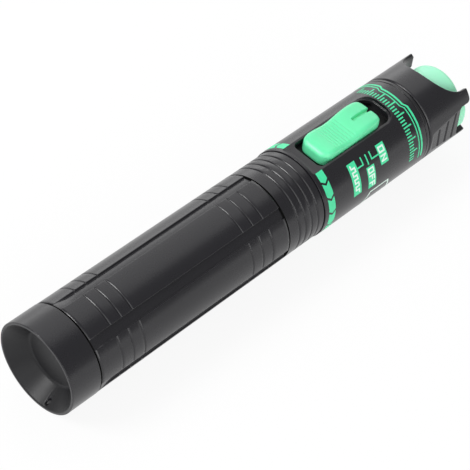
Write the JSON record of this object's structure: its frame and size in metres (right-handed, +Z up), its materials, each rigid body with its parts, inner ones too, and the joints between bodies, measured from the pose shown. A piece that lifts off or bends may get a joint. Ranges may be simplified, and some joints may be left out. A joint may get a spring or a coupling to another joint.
{
  "type": "visual fault locator",
  "caption": "Pen-shaped red light source for optical fibre, with a sliding switch, an output port in a scalloped head, a pull-off dust cap and cells in a screw-off grip sleeve.",
  "frame": {"origin": "bottom centre of the bounding box, on the surface that the pen lies on", "axes": "+X along the pen towards the output port, +Z up through the switch"},
  "size_m": [0.1752, 0.03, 0.0319],
  "materials": {
    "satin_black": "satin moulded black plastic",
    "gloss_black": "smooth black plastic",
    "black_plastic": "plain black insulating plastic",
    "mint_plastic": "moulded mint green plastic",
    "mint_cap": "soft pale mint rubber",
    "nickel": "nickel plated brass",
    "spring_steel": "nickel plated spring wire",
    "steel": "bright pressed steel",
    "brass": "bare brass",
    "gilt": "gold plated can",
    "cell_can": "plain printed film over a steel can",
    "board_green": "solder mask over glass epoxy",
    "chip_black": "moulded epoxy",
    "trimmer_white": "white moulded plastic",
    "ceramic_tan": "fired ceramic",
    "lead_red": "insulated wire",
    "lens_glass": "clear polished glass",
    "zirconia": "white ground ceramic"
  },
  "bodies": {
    "housing": {"front_housing": "satin_black", "contact_ring": "brass", "ground_strip": "brass", "bulkhead": "black_plastic", "front_contact": "nickel", "circuit_board": "board_green", "board_screws": "steel", "driver_chip": "chip_black", "power_trimmer": "trimmer_white", "chip_capacitors": "ceramic_tan", "chip_resistors": "chip_black", "switch_case": "steel", "switch_guide": "black_plastic", "laser_barrel": "brass", "laser_diode": "gilt", "laser_leads": "lead_red", "collimating_lens": "lens_glass", "lens_ring": "steel", "output_port": "nickel", "port_nut": "nickel", "ferrule_sleeve": "zirconia", "head_collar": "gloss_black", "head_crown": "satin_black"},
    "sleeve": {"grip_sleeve": "satin_black", "tail_contact": "nickel", "tail_spring": "spring_steel", "return_strip": "brass", "rear_cell": "cell_can", "front_cell": "cell_can"},
    "switch": {"switch_knob": "mint_plastic", "switch_lever": "black_plastic"},
    "cap": {"dust_cap": "mint_cap"}
  },
  "joints": [
    {"name": "switch_slide", "type": "slide", "parent": "housing", "child": "switch", "axis": [1, 0, 0], "range_m": [0, 0.0042]},
    {"name": "sleeve_draw", "type": "slide", "parent": "housing", "child": "sleeve", "axis": [-1, 0, 0], "range_m": [0, 0.04]},
    {"name": "dust_cap_pull", "type": "slide", "parent": "housing", "child": "cap", "axis": [1, 0, 0], "range_m": [0, 0.05]}
  ]
}
